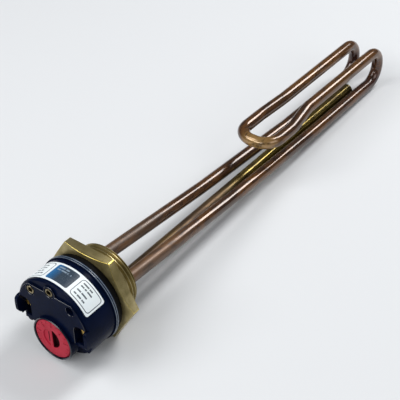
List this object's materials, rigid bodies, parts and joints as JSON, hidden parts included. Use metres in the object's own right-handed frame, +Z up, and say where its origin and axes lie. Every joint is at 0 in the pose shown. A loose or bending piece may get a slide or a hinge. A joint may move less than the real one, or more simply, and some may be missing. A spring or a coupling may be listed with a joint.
{
  "type": "screw plug immersion heater",
  "caption": "Folded tubular heating element and a rod pocket brazed into a hexagon-headed screw plug, with a round plug-in rod thermostat that has an adjusting dial.",
  "frame": {"origin": "on the plug's axis, in the plane of the hexagon's sealing face, where the thread starts", "axes": "+X along the plug's axis towards the element, +Z up with a flat of the hexagon on top and the dial low, so the dial faces -X"},
  "size_m": [0.3352, 0.0624, 0.054],
  "materials": {
    "brass_plug": "cast and turned, slightly tarnished",
    "copper_sheath": "drawn copper tube, browned by heat",
    "pocket_brass": "drawn tube",
    "tinned_steel": "plain",
    "ceramic": "unglazed",
    "gasket_rubber": "moulded",
    "phenolic": "moulded, semi-gloss",
    "label_stock": "coated",
    "dial_red": "moulded",
    "small_brass": "bright",
    "spring_bronze": "rolled strip",
    "contact_silver": "plain"
  },
  "bodies": {
    "heater": {"screw_plug": "brass_plug", "element_sheath": "copper_sheath", "cold_pins": "tinned_steel", "end_beads": "ceramic", "push_on_tabs": "tinned_steel", "braze_fillets": "small_brass", "thermostat_pocket": "pocket_brass", "rod_tube": "small_brass", "rod_core": "tinned_steel", "head_gasket": "gasket_rubber", "thermostat_base": "phenolic", "thermostat_cover": "phenolic", "label": "label_stock", "hollow_rivets": "small_brass", "terminal_clamps": "small_brass", "terminal_screws": "small_brass", "neutral_strap": "small_brass", "line_strap": "small_brass", "load_clip": "small_brass", "switch_blade": "spring_bronze", "fixed_contact": "contact_silver", "moving_contact": "contact_silver", "push_pin": "ceramic", "switch_lever": "tinned_steel"},
    "dial": {"adjusting_dial": "dial_red", "adjusting_spindle": "small_brass"}
  },
  "joints": [
    {"name": "dial_turn", "type": "hinge", "parent": "heater", "child": "dial", "pos_m": [-0.034, 0, -0.012], "axis": [1, 0, 0], "range_deg": [-120, 120]}
  ]
}
